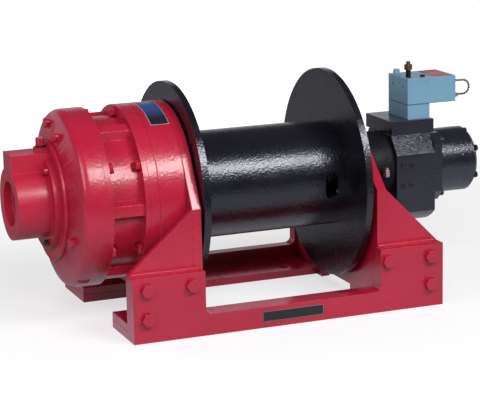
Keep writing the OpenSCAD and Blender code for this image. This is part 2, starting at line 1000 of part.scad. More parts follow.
piston_left = hub_x0 + piston_face;
piston_right = piston_left + piston_l;
seal_x0 = piston_left + (piston_l - seal_w) / 2;

module clutch_piston() {
    r = hub_bore_r - run;
    color(red)
        difference() {
            union() {
                bar(r, piston_left, piston_right);
                bar(rod_r, piston_left, ring_x0 - 1.5 * face);
            }
            bar(piston_dish_r, piston_left - over, piston_left + piston_dish);
            ring(r - seal_deep, r + over, seal_x0, seal_x0 + seal_w);
        }
}

module piston_seal() {
    r = hub_bore_r - run;
    color(black)
        ring(r - seal_deep + seat, r, seal_x0 + seat, seal_x0 + seal_w - seat);
}

module clutch_springs() {
    pitch = (hub_floor - piston_right - face) / spring_count;
    inner = rod_r + spring_play;
    outer = hub_bore_r - spring_play;
    rise = pitch - spring_t - face;
    color(steel)
        for (k = [0 : spring_count - 1])
            let (x = hub_floor - k * pitch,
                 lean = k % 2 == 0 ? [rise, 0] : [0, rise])
            turned([[inner, x - lean[0]], [outer, x - lean[1]],
                    [outer, x - lean[1] - spring_t], [inner, x - lean[0] - spring_t]]);
}

module port_place() {
    translate([retainer_x0 - hub_boss_l / 2, 0, axis_h + hub_boss_top])
        children();
}

module port_plug() {
    color(red)
        port_place() {
            translate([0, 0, port_washer_t])
                cylinder(r = port_plug_af / 2 * hex_out, h = port_plug_h, $fn = 6);
            translate([0, 0, over - port_deep]) cylinder(r = port_r, h = port_deep + port_washer_t);
        }
}

module port_washer() {
    color(black)
        port_place()
            difference() {
                cylinder(r = port_washer_r, h = port_washer_t);
                translate([0, 0, -over]) cylinder(r = port_r + seat, h = port_washer_t + 2 * over);
            }
}

// Drum and its drive

module drum() {
    inner = barrel_in;
    color(black)
        difference() {
            turned([
                [inner, drum_x0], [flange_r, drum_x0], [flange_r, barrel_x0], [barrel_r, barrel_x0],
                [barrel_r, barrel_x1], [flange_r, barrel_x1], [flange_r, drum_x1], [inner, drum_x1],
                [inner, web_x0 + web_t], [drum_bush_r, web_x0 + web_t], [drum_bush_r, web_x0],
                [inner, web_x0]
            ]);
            along_y(-barrel_r - over, barrel_r)
                translate([anchor_x, axis_h - anchor_low])
                    offset(anchor_round)
                        square([anchor_w - 2 * anchor_round, anchor_h - 2 * anchor_round], center = true);
            anchor_screw_place()
                rod_x(anchor_screw_r + seat, anchor_edge - over, drum_x1 + over);
        }
}

module anchor_screw_place() {
    on_circle(barrel_r - barrel_wall / 2, anchor_screw_angle) children();
}

module anchor_screw() {
    color(steel)
        anchor_screw_place()
            difference() {
                rod_x(anchor_screw_r, anchor_edge - anchor_screw_out, drum_x1 - anchor_screw_out);
                hex_x(anchor_screw_r, drum_x1 - 3 * anchor_screw_out, drum_x1);
            }
}

module drive_hub() {
    color(black)
        ring(hub_tube_r + seat, barrel_in - seat, drum_x0, drum_x0 + drive_hub_t);
}

module drum_bush() {
    color(bronze)
        ring(spigot_r + run, drum_bush_r - seat, web_x0 - bush_end, web_x0 + web_t + bush_end);
}

module output_carrier() {
    color(steel) {
        difference() {
            union() {
                bar(outplate_r, outplate_x0, outplate_x1);
                bar(hub_tube_r, outplate_x1 - over, hub_tube_x1);
                for (i = [0 : planets - 1])
                    on_circle(planet_orbit, 180 - train_turn - i * 360 / planets)
                        rod_x(out_pin_r, out_x0 - plate_gap / 2, outplate_x0 + over);
            }
            bar(shaft_r + shaft_gap, outplate_x0 - over, hub_tube_x1 + over);
            bar(hub_tube_in, outplate_x1, hub_tube_x1 + over);
        }
    }
}

module output_planet_1() {
    color(steel) planet_at(0, out_x0, stage_out_w, out_pin_r + run);
}

module output_planet_2() {
    color(steel) planet_at(1, out_x0, stage_out_w, out_pin_r + run);
}

module output_planet_3() {
    color(steel) planet_at(2, out_x0, stage_out_w, out_pin_r + run);
}

module input_carrier() {
    color(steel)
        difference() {
            union() {
                bar(inplate_r, inplate_x0, inplate_x1);
                for (i = [0 : planets - 1])
                    on_circle(planet_orbit, 180 - train_turn - i * 360 / planets)
                        rod_x(in_pin_r, in_x0 - plate_gap / 2, inplate_x0 + over);
            }
            bar(shaft_r + run, inplate_x0 - over, inplate_x1 + over);
        }
}

module output_sun() {
    color(steel)
        along(inplate_x1, out_x1 - inplate_x1)
            difference() {
                sun_2d();
                circle(shaft_r + run);
            }
}

module input_planet_1() {
    color(steel) planet_at(0, in_x0, stage_in_w, in_pin_r + run);
}

module input_planet_2() {
    color(steel) planet_at(1, in_x0, stage_in_w, in_pin_r + run);
}

module input_planet_3() {
    color(steel) planet_at(2, in_x0, stage_in_w, in_pin_r + run);
}

// The shaft carries the input sun at one end and the brake's spline and a socket at the other
module input_shaft() {
    color(steel)
        difference() {
            union() {
                along(in_x0, stage_in_w) sun_2d();
                bar(shaft_r, in_x0 - plate_gap, joint_x);
                bar(spline_r, pack_x0, joint_x);
            }
            bar(motor_shaft_r + seat, joint_x - socket_l, joint_x + over);
        }
}

// Motor end

module drum_spigot() {
    color(steel)
        difference() {
            union() {
                bar(spigot_r, web_x0 - spigot_end_gap, rp_out);
                bar(spigot_flange_r, rp_in - spigot_flange_t, rp_in);
            }
            bar(shaft_r + shaft_gap, web_x0 - spigot_end_gap - over, rp_out + over);
        }
}

module brake_screw_places() {
    for (k = [0 : brake_screw_count - 1])
        on_circle(brake_screw_circle, (k + 0.5) * 360 / brake_screw_count) children();
}

module brake_housing() {
    color(black)
        difference() {
            bar(brake_r, rp_out, brake_x1);
            bar(brake_cavity_r, rp_out + brake_floor, brake_x1 + over);
            bar(shaft_r + shaft_gap, rp_out - over, brake_x1);
            brake_screw_places()
                rod_x(brake_screw_r + seat, rp_out - over, rp_out + brake_screw_reach + over);
            fitting_place()
                rotate([-90, 0, 0])
                    translate([0, 0, -over]) cylinder(r = fitting_stem_r + seat, h = brake_wall / 2 + over);
        }
}

module brake_screws() {
    color(black)
        brake_screw_places() {
            rod_x(brake_screw_head_r, rp_in - brake_screw_head_h, rp_in);
            rod_x(brake_screw_r, rp_in - over, rp_out + brake_screw_reach);
        }
}

module brake_discs() {
    color(bronze)
        for (k = [0 : disc_count - 1])
            let (x = pack_x0 + disc_pitch / 2 + k * disc_pitch)
            ring(disc_in, disc_out, x, x + disc_t);
}

module brake_plates() {
    color(steel)
        for (k = [0 : disc_count])
            let (x = pack_x0 + k * disc_pitch)
            ring(plate_in, brake_cavity_r - seat, x, x + disc_t);
}

module brake_piston() {
    color(steel)
        ring(plate_in, brake_cavity_r - run, piston_x0, piston_x1);
}

module brake_springs() {
    space = brake_x1 - piston_x1 - brake_stroke - face;
    each_space = space / 2;
    inner = plate_in + spring_play;
    outer = brake_cavity_r - spring_play;
    color(steel)
        for (k = [0, 1])
            let (x = brake_x1 - k * each_space,
                 rise = each_space - brake_spring_t - face,
                 lean = k == 0 ? [rise, 0] : [0, rise])
            turned([[inner, x - lean[0]], [outer, x - lean[1]],
                    [outer, x - lean[1] - brake_spring_t], [inner, x - lean[0] - brake_spring_t]]);
}

module fitting_place() {
    translate([fitting_x, -sqrt(pow(brake_r, 2) - pow(fitting_z, 2)), axis_h + fitting_z])
        children();
}

module brake_fitting() {
    mid = fitting_stem_l + fitting_af / 2;
    color("silver")
        fitting_place() {
            translate([0, brake_wall / 2 - over, 0])
                rotate([90, 0, 0]) cylinder(r = fitting_stem_r, h = brake_wall / 2 + mid - over);
            translate([0, -mid, -fitting_h / 2])
                cylinder(r = fitting_af / 2 * hex_out, h = fitting_h, $fn = 6);
            translate([0, -mid, fitting_h / 2 - over])
                cylinder(r = fitting_nipple_r, h = fitting_nipple_h + over);
        }
}

module adapter_2d() {
    intersection() {
        circle(adapter_low_r);
        polygon([
            [-adapter_half_w, -adapter_low_r], [adapter_half_w, -adapter_low_r],
            [adapter_half_w, adapter_side], [adapter_top_half, adapter_top],
            [-adapter_top_half, adapter_top], [-adapter_half_w, adapter_side]
        ]);
    }
}

module adapter_plug_places() {
    for (x = plug_row_x, z = plug_row_z)
        translate([brake_x1 + x, -adapter_half_w, axis_h + z])
            rotate([90, 0, 0])
                children();
}

module motor_adapter() {
    color(black)
        difference() {
            along(brake_x1, adapter_l) adapter_2d();
            bar(adapter_cavity_r, brake_x1 + adapter_wall, adapter_x1 + over);
            bar(spline_r + shaft_gap, brake_x1 - over, brake_x1 + adapter_wall + over);
            adapter_plug_places()
                translate([0, 0, -adapter_plug_in - over])
                    cylinder(r = adapter_plug_r + seat, h = adapter_plug_in + 2 * over);
        }
}

module adapter_plate() {
    color(black)
        difference() {
            along(adapter_x1, adapter_plate_t) adapter_2d();
            bar(motor_shaft_r + shaft_gap, adapter_x1 - over, plate_x1 + over);
            flange_bolt_places()
                rod_x(flange_bolt_r + seat, plate_x1 - flange_bolt_reach - over, plate_x1 + over);
        }
}

module adapter_plugs() {
    color(black)
        adapter_plug_places()
            difference() {
                translate([0, 0, -adapter_plug_in])
                    cylinder(r = adapter_plug_r, h = adapter_plug_in + adapter_plug_out);
                cylinder(r = adapter_plug_r / 2, h = 2 * adapter_plug_out, $fn = 6);
            }
}

module manifold_block() {
    color(black)
        difference() {
            translate([manifold_x0, -manifold_front, manifold_z])
                cube([manifold_l, manifold_front + manifold_rear, manifold_h]);
            for (k = [0, 1])
                translate([manifold_x0 + port_hole_x + k * port_hole_pitch, manifold_rear + over,
                           manifold_z + manifold_h / 2])
                    rotate([90, 0, 0]) cylinder(r = port_hole_r, h = port_hole_deep + over);
        }
}

module flange_bolt_places() {
    for (y = [-1, 1], z = [-1, 1])
        translate([0, y * flange_bolt_y, z * flange_bolt_z]) children();
}

module motor_flange() {
    w = flange_half_w;
    h = flange_half_h;
    c = flange_cut;
    color(black)
        difference() {
            along(plate_x1, motor_flange_l)
                polygon([[c - w, -h], [w - c, -h], [w, c - h], [w, h - c],
                         [w - c, h], [c - w, h], [-w, h - c], [-w, c - h]]);
            bar(motor_shaft_r + shaft_gap, plate_x1 - over, motor_x0 + over);
            flange_bolt_places()
                rod_x(flange_bolt_r + hole_play, plate_x1 - over, motor_x0 + over);
        }
}

module cap_bolt_places() {
    for (k = [0 : cap_bolt_count - 1])
        on_circle(cap_bolt_r, (k + 0.5) * 360 / cap_bolt_count) children();
}

module motor_body() {
    color(black)
        difference() {
            bar(motor_r, motor_x0, motor_x1);
            bar(chamber_r, motor_x0 + motor_wall, motor_x1 + over);
            bar(motor_shaft_r + run, motor_x0 - over, motor_x0 + motor_wall + over);
            cap_bolt_places()
                rod_x(cap_bolt + seat, motor_x1 - motor_l / 2, motor_x1 + over);
        }
}

module motor_end_cap() {
    color(black)
        difference() {
            turned([[0, motor_x1], [motor_r, motor_x1], [motor_r, motor_end - cap_round],
                    [motor_r - cap_round, motor_end], [0, motor_end]]);
            bar(motor_shaft_r + run, motor_x1 - over, motor_x1 + motor_shaft_end + face);
            cap_bolt_places()
                rod_x(cap_bolt + hole_play, motor_x1 - over, motor_end + over);
        }
}

module motor_bolts() {
    color(black) {
        cap_bolt_places() {
            hex_x(cap_bolt_af, motor_end, motor_end + cap_head_h);
            rod_x(cap_bolt, motor_x1 - motor_l / 2 + over, motor_end + over);
        }
        flange_bolt_places() {
            rod_x(motor_head_r, motor_x0, motor_x0 + motor_head_h);
            rod_x(flange_bolt_r, plate_x1 - flange_bolt_reach, motor_x0 + over);
        }
    }
}

module vane_places() {
    for (k = [0 : vane_count - 1])
        rotate(k * 360 / vane_count) children();
}

module motor_rotor() {
    color(steel) {
        along(motor_x0 + motor_wall + face, motor_l - motor_wall - 2 * face)
            difference() {
                circle(rotor_r);
                vane_places()
                    translate([rotor_r - vane_depth, -vane_t / 2 - seat])
                        square([vane_depth + over, vane_t + 2 * seat]);
            }
        bar(motor_shaft_r, joint_x - socket_l + face, motor_x1 + motor_shaft_end);
    }
}

module motor_vanes() {
    color(steel)
        along(motor_x0 + motor_wall + face, motor_l - motor_wall - 2 * face)
            vane_places()
                translate([rotor_r - vane_depth + seat, -vane_t / 2])
                    square([chamber_r - vane_gap - rotor_r + vane_depth - seat, vane_t]);
}

// Counterbalance valve

module valve_lower() {
    color(blue)
        translate([valve_x0, -valve_half, valve_z0])
            cube([valve_l, valve_w, valve_low_h]);
}

module valve_upper() {
    color(blue)
        difference() {
            translate([valve_x0, -valve_half, valve_z1])
                cube([valve_top_l, valve_w, valve_top_h]);
            for (p = test_ports)
                translate([valve_x0 - over, p[0], valve_z2 + p[1]])
                    rotate([0, 90, 0]) cylinder(r = test_port_r, h = test_port_deep + over);
        }
}

module valve_fittings() {
    color(blue)
        translate([valve_x0 + nub_x - nub_l / 2, valve_half - nub_w, valve_z2])
            cube([nub_l, nub_w, nub_h]);
    color(bronze)
        translate([valve_x0 + stem_x, stem_y, valve_z2]) {
            cylinder(r = stem_r, h = stem_h + over);
            translate([0, 0, stem_h])
                cylinder(r = stem_head_af / 2 * hex_out, h = stem_head_h, $fn = 6);
            translate([0, 0, stem_h + stem_head_h - over])
                cylinder(r = stem_tip_r, h = stem_tip_h + over);
        }
    color(black)
        translate([valve_x0 + cap_x, cap_y, valve_z2])
            cylinder(r = cap_r, h = cap_h);
}

// A loop of ball chain that hangs out of the end of the upper block
chain_x = valve_x0 + valve_top_l + chain_ball_r;
chain_mid = valve_z2 - (chain_z0 + chain_z1) / 2;
chain_bend = (chain_z1 - chain_z0) / 2;
chain_run = chain_out - chain_ball_r - chain_bend;
chain_length = 2 * chain_run + PI * chain_bend;
chain_links = floor(chain_length / (2 * chain_ball_r + chain_play));

// Point k of the loop: out along the top, round the bend and back along the bottom
function chain_point(k) =
    let (s = k * chain_length / chain_links,
         a = (s - chain_run) / chain_bend * 180 / PI)
    s < chain_run ? [chain_x + s, chain_y, chain_mid + chain_bend]
    : a > 180 ? [chain_x + chain_length - s, chain_y, chain_mid - chain_bend]
    : [chain_x + chain_run + chain_bend * sin(a), chain_y, chain_mid + chain_bend * cos(a)];

module seal_chain() {
    color(bronze)
        for (k = [0 : chain_links])
            translate(chain_point(k)) sphere(r = chain_ball_r, $fn = 24);
}

module wire_tag() {
    color([0.85, 0.80, 0.68])
        translate([valve_x0 + valve_top_l + 2 * tag_t, chain_y - chain_ball_r - face - tag_t,
                   valve_z2 - chain_z1 - tag_h / 2])
            cube([tag_l, tag_t, tag_h]);
}

front_rail();
rear_rail();
left_end_plate();
right_end_plate();
gussets();
foot_pads();
weld_beads();
rail_bolts();
rail_nuts();
drum_support();
carrier_bush();
ring_gear();
case_bolts();
end_cover();
cover_plugs();
retainer_plate();
clutch_housing();
hub_screws();
clutch_piston();
piston_seal();
clutch_springs();
port_plug();
port_washer();
drum();
drive_hub();
drum_bush();
anchor_screw();
output_carrier();
output_planet_1();
output_planet_2();
output_planet_3();
input_carrier();
output_sun();
input_planet_1();
input_planet_2();
input_planet_3();
input_shaft();
brake_discs();
motor_rotor();
motor_vanes();
drum_spigot();
brake_housing();
brake_screws();
brake_plates();
brake_piston();
brake_springs();
brake_fitting();
motor_adapter();
adapter_plate();
adapter_plugs();
manifold_block();
motor_flange();
motor_body();
motor_end_cap();
motor_bolts();
valve_lower();
valve_upper();
valve_fittings();
seal_chain();
wire_tag();
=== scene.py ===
import bpy
import bmesh
import json
from math import radians, sin, cos
from mathutils import Matrix, Vector


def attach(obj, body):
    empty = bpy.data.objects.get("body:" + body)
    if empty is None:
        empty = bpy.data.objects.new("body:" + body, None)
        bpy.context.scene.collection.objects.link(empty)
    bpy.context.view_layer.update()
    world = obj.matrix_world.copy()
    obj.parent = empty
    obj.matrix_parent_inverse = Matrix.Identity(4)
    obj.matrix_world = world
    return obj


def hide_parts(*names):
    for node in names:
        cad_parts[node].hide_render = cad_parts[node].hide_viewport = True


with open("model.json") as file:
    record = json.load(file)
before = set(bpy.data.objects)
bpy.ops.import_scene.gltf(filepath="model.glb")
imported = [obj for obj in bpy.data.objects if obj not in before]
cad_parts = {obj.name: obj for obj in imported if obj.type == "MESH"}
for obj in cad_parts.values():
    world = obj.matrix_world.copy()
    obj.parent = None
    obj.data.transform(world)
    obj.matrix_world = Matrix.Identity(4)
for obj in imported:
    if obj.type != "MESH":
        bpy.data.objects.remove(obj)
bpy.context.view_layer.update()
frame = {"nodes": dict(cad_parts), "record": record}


# Camera, lamps and floor.
# A long lens looks down on the winch from the left of its front. A large soft lamp stands at the right of the
# front and a near one at the left. The pale floor runs on into a white background.

view = bpy.context.scene
view.view_settings.view_transform = "Standard"

eye = Vector((-1.2985, -3.2830, 0.98725))
turn, dip, lean = radians(21.35), radians(13.07), radians(1.23)
ahead = Vector((sin(turn) * cos(dip), cos(turn) * cos(dip), -sin(dip)))
level = Vector((cos(turn), -sin(turn), 0))
under = ahead.cross(level)
right = cos(lean) * level + sin(lean) * under
down = cos(lean) * under - sin(lean) * level
camera = bpy.data.objects.new("camera", bpy.data.cameras.new("camera"))
view.collection.objects.link(camera)
camera.matrix_world = Matrix((
    (right.x, -down.x, -ahead.x, eye.x),
    (right.y, -down.y, -ahead.y, eye.y),
    (right.z, -down.z, -ahead.z, eye.z),
    (0, 0, 0, 1)))
camera.data.sensor_width = 36
camera.data.lens = 140.35
camera.data.shift_x = -0.0008
camera.data.shift_y = 0.0042
camera.data.clip_end = 200
view.camera = camera


def lamp(name, place, aim, size, power, mirrored=True):
    """A soft rectangular lamp at a place, turned toward a point. Gloss shows it only if it is mirrored."""
    light = bpy.data.lights.new(name, "AREA")
    light.shape = "RECTANGLE"
    light.size, light.size_y = size
    light.energy = power
    stand = bpy.data.objects.new(name, light)
    view.collection.objects.link(stand)
    stand.location = place
    stand.rotation_euler = (Vector(aim) - Vector(place)).to_track_quat("-Z", "Y").to_euler()
    stand.visible_glossy = mirrored


heart = (0, 0, 0.25)
lamp("key_lamp", (0.875, -2.19, 2.08), aim=heart, size=(1.6, 0.85), power=60)
lamp("left_lamp", (-1.75, -0.9, 1.15), aim=(-0.3, 0, 0.22), size=(0.9, 0.9), power=12)
lamp("front_fill", (-0.9, -2.7, 2.1), aim=(0, 0, 0.2), size=(1.2, 1.2), power=38, mirrored=False)
lamp("back_lamp", (0.7, 2.6, 0.6), aim=heart, size=(1.6, 0.9), power=24, mirrored=False)
lamp("rear_left_fill", (-1.7, 2.0, 0.7), aim=heart, size=(1.4, 0.9), power=16, mirrored=False)


def joined(net, value, socket):
    """Feeds a socket with another node's output, or sets it to a constant."""
    if hasattr(value, "is_output"):
        net.links.new(value, socket)
    else:
        socket.default_value = value


def sums(net, kind, first, second=0.0, third=0.0):
    """A Math node of a kind, and what it gives."""
    step = net.nodes.new("ShaderNodeMath")
    step.operation = kind
    for value, socket in zip((first, second, third), step.inputs):
        joined(net, value, socket)
    return step.outputs[0]


def spread(net, value, low, high, to_low=0.0, to_high=1.0):
    """A value between low and high, brought to between to_low and to_high."""
    step = net.nodes.new("ShaderNodeMapRange")
    for name, given in (("Value", value), ("From Min", low), ("From Max", high),
                        ("To Min", to_low), ("To Max", to_high)):
        joined(net, given, step.inputs[name])
    return step.outputs[0]


def tint(net, factor, first, second):
    """One colour passing into another."""
    step = net.nodes.new("ShaderNodeMix")
    step.data_type = "RGBA"
    joined(net, factor, step.inputs["Factor"])
    for value, socket in ((first, step.inputs["A"]), (second, step.inputs["B"])):
        joined(net, value if hasattr(value, "is_output") else (*value, 1), socket)
    return step.outputs["Result"]


# The sky lights the winch dimly, is a pale band low at the back in gloss, and is white to the camera.
room = bpy.data.worlds.new("room")
view.world = room
room.use_nodes = True
air = room.node_tree
air.nodes.clear()


def sky(colour, strength):
    """One of the room's skies."""
    light = air.nodes.new("ShaderNodeBackground")
    light.inputs["Color"].default_value = (*colour, 1)
    joined(air, strength, light.inputs["Strength"])
    return light.outputs[0]


def either(factor, first, second):
    """One sky passing into another."""
    mix = air.nodes.new("ShaderNodeMixShader")
    air.links.new(factor, mix.inputs["Fac"])
    air.links.new(first, mix.inputs[1])
    air.links.new(second, mix.inputs[2])
    return mix.outputs[0]


compass = air.nodes.new("ShaderNodeTexCoord")
bearing = air.nodes.new("ShaderNodeSeparateXYZ")
air.links.new(compass.outputs["Generated"], bearing.inputs[0])
rays = air.nodes.new("ShaderNodeLightPath")
in_gloss = sums(air, "MAXIMUM", rays.outputs["Is Glossy Ray"], rays.outputs["Is Transmission Ray"])
band_glow, rest_glow, daylight = 0.48, 0.08, 0.11
band_fades, band_begins = (0.26, 0.38), (0.1, 0.5)
band = sums(air, "MULTIPLY", spread(air, bearing.outputs["Z"], *band_fades, to_low=band_glow, to_high=0.0),
            spread(air, bearing.outputs["Y"], *band_begins))
cool, white = (0.90, 0.91, 1), (1, 1, 1)
around = either(in_gloss, sky(cool, daylight), sky(cool, sums(air, "ADD", band, rest_glow)))
out = air.nodes.new("ShaderNodeOutputWorld")
air.links.new(either(rays.outputs["Is Camera Ray"], around, sky(white, 1.0)), out.inputs["Surface"])

# The floor keeps the shadow near the winch and passes into white farther away. Gloss shows a pale strip of it
# in front of the winch.
bpy.ops.mesh.primitive_plane_add(size=60)
floor = bpy.context.object
floor.name = "floor"
pale = bpy.data.materials.new("pale_floor")
pale.use_nodes = True
net = pale.node_tree
shader = net.nodes["Principled BSDF"]
shader.inputs["Roughness"].default_value = 0.9
shader.inputs["Specular IOR Level"].default_value = 0.1
rays = net.nodes.new("ShaderNodeLightPath")
in_gloss = rays.outputs["Is Glossy Ray"]
spot = net.nodes.new("ShaderNodeTexCoord")
spot_parts = net.nodes.new("ShaderNodeSeparateXYZ")
net.links.new(spot.outputs["Object"], spot_parts.inputs[0])
across = spot_parts.outputs["Y"]
away = net.nodes.new("ShaderNodeVectorMath")
away.operation = "LENGTH"
net.links.new(spot.outputs["Object"], away.inputs[0])
lit_floor, mirrored_floor, cool_glow = (0.36, 0.36, 0.365), (0.06, 0.06, 0.06), (0.88, 0.88, 1.0)
net.links.new(tint(net, in_gloss, lit_floor, mirrored_floor), shader.inputs["Base Color"])
strip_glow, strip_rest, near_glow, far_glow = 0.62, 0.3, 0.64, 1.0
strip_begins, strip_fades, whitens = (-1.45, -0.75), (-0.1, 0.3), (1.0, 3.5)
strip = sums(net, "MULTIPLY", spread(net, across, *strip_begins, to_high=strip_glow),
             spread(net, across, *strip_fades, to_low=1.0, to_high=strip_rest))
shown = sums(net, "MULTIPLY", rays.outputs["Is Camera Ray"],
             spread(net, away.outputs["Value"], *whitens, to_low=near_glow, to_high=far_glow))
net.links.new(sums(net, "MULTIPLY_ADD", in_gloss, strip, shown), shader.inputs["Emission Strength"])
net.links.new(tint(net, in_gloss, white, cool_glow), shader.inputs["Emission Color"])
floor.data.materials.append(pale)


# Side rails.
# Each is a heavy steel angle, cut away between its tall ends and bored for the deck bolts, under gloss red
# paint. The front one carries a small dark plate, left bare here.

body_of_node = {n: b for b, group in frame["record"]["behaviour"]["bodies"].items() for n in group}
slot_of_node = {s["node"]: s["material_slot"] for s in frame["record"]["subparts"]}
axis_z = 0.232
same_point = 0.00001
noise_span = 0.3, 0.7
sharp_from, smooth_below, flat_below = radians(24), radians(30), radians(0.5)


def blank(name):
    """A new finish: its material, its nodes, its shader and the place on the piece."""
    finish = bpy.data.materials.new(name)
    finish.use_nodes = True
    net = finish.node_tree
    place = net.nodes.new("ShaderNodeTexCoord")
    return finish, net, net.nodes["Principled BSDF"], place.outputs["Object"]


def noise(net, place, size, detail=3, rough=0.5):
    """Noise with patches of about a size, in metres."""
    step = net.nodes.new("ShaderNodeTexNoise")
    step.inputs["Scale"].default_value = 1 / size
    step.inputs["Detail"].default_value = detail
    step.inputs["Roughness"].default_value = rough
    net.links.new(place, step.inputs["Vector"])
    return step.outputs["Fac"]


def relief(net, height, strength, depth, normal=None):
    """Bump from a height, laid over another bump's normal."""
    step = net.nodes.new("ShaderNodeBump")
    step.inputs["Strength"].default_value = strength
    step.inputs["Distance"].default_value = depth
    net.links.new(height, step.inputs["Height"])
    if normal:
        net.links.new(normal, step.inputs["Normal"])
    return step.outputs["Normal"]


def paint(name, colours, grain, peel, rough, coat=0.0, pitch=0.006, waves=0.0, gloss=0.09):
    """A gloss paint that drifts between two colours and is thin, in a third, in spots along the edges.

    Under it lies a grain of some pitch on wide waves. Its own skin is an orange peel, under a clear coat.
    """
    colour, shade, thin = colours
    finish, net, shader, place = blank(name)
    drift = noise(net, place, size=0.09, detail=4)
    body = tint(net, spread(net, drift, *noise_span), shade, colour)
    specks = noise(net, place, size=0.0011, detail=2, rough=0.6)
    dust = spread(net, specks, 0.70, 0.78, to_high=0.35)
    edge = net.nodes.new("ShaderNodeAttribute")
    edge.attribute_name = "edge"
    patches = spread(net, noise(net, place, size=0.012, detail=4, rough=0.65), 0.48, 0.60, to_high=0.75)
    worn = sums(net, "MULTIPLY", edge.outputs["Fac"], patches)
    net.links.new(tint(net, sums(net, "MAXIMUM", worn, dust), body, thin), shader.inputs["Base Color"])
    smears = noise(net, place, size=0.035, rough=0.6)
    dull = spread(net, smears, *noise_span, to_low=rough * 0.75, to_high=rough * 1.3)
    worn_rough = 0.2
    net.links.new(sums(net, "MULTIPLY_ADD", worn, worn_rough, dull), shader.inputs["Roughness"])
    swell = relief(net, noise(net, place, size=0.035, detail=2), strength=waves, depth=0.004)
    cast = relief(net, noise(net, place, size=pitch, detail=1.5, rough=0.4), grain, depth=0.003, normal=swell)
    skin = relief(net, noise(net, place, size=0.0024, detail=1), strength=peel, depth=0.0004, normal=cast)
    net.links.new(skin, shader.inputs["Normal"])
    net.links.new(skin, shader.inputs["Coat Normal"])
    shader.inputs["Coat Weight"].default_value = coat
    shader.inputs["Coat Roughness"].default_value = gloss
    return finish


def copied(node):
    """A copy of a CAD node to work on: one mesh without doubles, selected and active."""
    piece = frame["nodes"][node].copy()
    piece.data = piece.data.copy()
    piece.name = piece.data.name = node + "_dressed"
    view.collection.objects.link(piece)
    bpy.ops.object.select_all(action="DESELECT")
    piece.select_set(True)
    bpy.context.view_layer.objects.active = piece
    if piece.data.has_custom_normals:
        bpy.ops.mesh.customdata_custom_splitnormals_clear()
    bpy.ops.object.mode_set(mode="EDIT")
    bpy.ops.mesh.select_mode(type="EDGE")
    bpy.ops.mesh.select_all(action="SELECT")
    bpy.ops.mesh.remove_doubles(threshold=same_point)
    bpy.ops.mesh.dissolve_limited(angle_limit=flat_below)
    bpy.ops.object.mode_set(mode="OBJECT")
    return piece


def put(piece, body, slot, *nodes):
    """Hangs a piece on the body it rides on and hides the CAD nodes it stands for. Its slot is not used."""
    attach(piece, body)
    if nodes:
        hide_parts(*nodes)


def dressed(node, finish, width=0.0, segments=3, keep=None):
    """The CAD node in its finish, its sharp edges rounded over a width. keep(middle of an edge) picks them.

    The rounded faces are marked for the paint, which is thin there, by a second material slot that then goes.
    """
    piece = copied(node)
    piece.data.materials.clear()
    for _ in range(2):
        piece.data.materials.append(finish)
    if width:
        bpy.ops.object.mode_set(mode="EDIT")
        bpy.ops.mesh.select_all(action="DESELECT")
        bpy.ops.mesh.edges_select_sharp(sharpness=sharp_from)
        if keep:
            shape = bmesh.from_edit_mesh(piece.data)
            for edge in shape.edges:
                if edge.select and not keep((edge.verts[0].co + edge.verts[1].co) / 2):
                    edge.select_set(False)
            bmesh.update_edit_mesh(piece.data)
        bpy.ops.mesh.bevel(offset=width, segments=segments, profile=0.5, clamp_overlap=True, material=1)
        bpy.ops.object.mode_set(mode="OBJECT")
    faces = piece.data.polygons
    rounded = piece.data.attributes.new("edge", "FLOAT", "FACE")
    rounded.data.foreach_set("value", [float(face.material_index) for face in faces])
    faces.foreach_set("material_index", [0] * len(faces))
    piece.data.materials.pop(index=1)
    bpy.ops.object.shade_smooth_by_angle(angle=smooth_below)
    flat = piece.modifiers.new("flat_faces", "WEIGHTED_NORMAL")
    flat.weight = 100
    flat.keep_sharp = True
    bpy.ops.object.modifier_apply(modifier="flat_faces")
    put(piece, body_of_node[node], slot_of_node[node], node)
    return piece


reds = (0.48, 0.013, 0.042), (0.41, 0.010, 0.033), (0.56, 0.045, 0.070)
red_plate = paint("red_plate_paint", reds, grain=0.05, peel=0.2, rough=0.22, coat=0.30, waves=0.10)
for node in ("front_rail", "rear_rail"):
    dressed(node, red_plate, width=0.0014)


def label(name, low, high, out, rim, finish, rim_finish):
    """A thin plate between two corners, its face sunk a little inside a rim on the side that faces out."""
    sunk, edge_round, facing = 0.00012, 0.00008, 0.9
    bpy.ops.object.select_all(action="DESELECT")
    low, high, out = Vector(low), Vector(high), Vector(out)
    bpy.ops.mesh.primitive_cube_add(size=1, location=(low + high) / 2, scale=high - low)
    piece = bpy.context.object
    piece.name = piece.data.name = name
    bpy.ops.object.transform_apply(location=True, rotation=True, scale=True)
    piece.data.materials.append(rim_finish)
    piece.data.materials.append(finish)
    bpy.ops.object.mode_set(mode="EDIT")
    bpy.ops.mesh.select_mode(type="FACE")
    bpy.ops.mesh.select_all(action="DESELECT")
    shape = bmesh.from_edit_mesh(piece.data)
    for face in shape.faces:
        face.select_set(face.normal.dot(out) > facing)
    bmesh.update_edit_mesh(piece.data)
    bpy.ops.mesh.inset(thickness=rim, depth=0)
    piece.active_material_index = 1
    bpy.ops.object.material_slot_assign()
    bpy.ops.transform.translate(value=out * -sunk)
    bpy.ops.mesh.select_all(action="DESELECT")
    bpy.ops.mesh.select_mode(type="EDGE")
    bpy.ops.mesh.edges_select_sharp(sharpness=sharp_from)
    bpy.ops.mesh.bevel(offset=edge_round, segments=2)
    bpy.ops.object.mode_set(mode="OBJECT")
    bpy.ops.object.shade_smooth_by_angle(angle=smooth_below)
    put(piece, "frame", "tag")


def print_ink(name, colours, peel=0.05, rough=0.3):
    """A thin even print or lacquer, as on a label."""
    return paint(name, colours, grain=0.0, peel=peel, rough=rough)


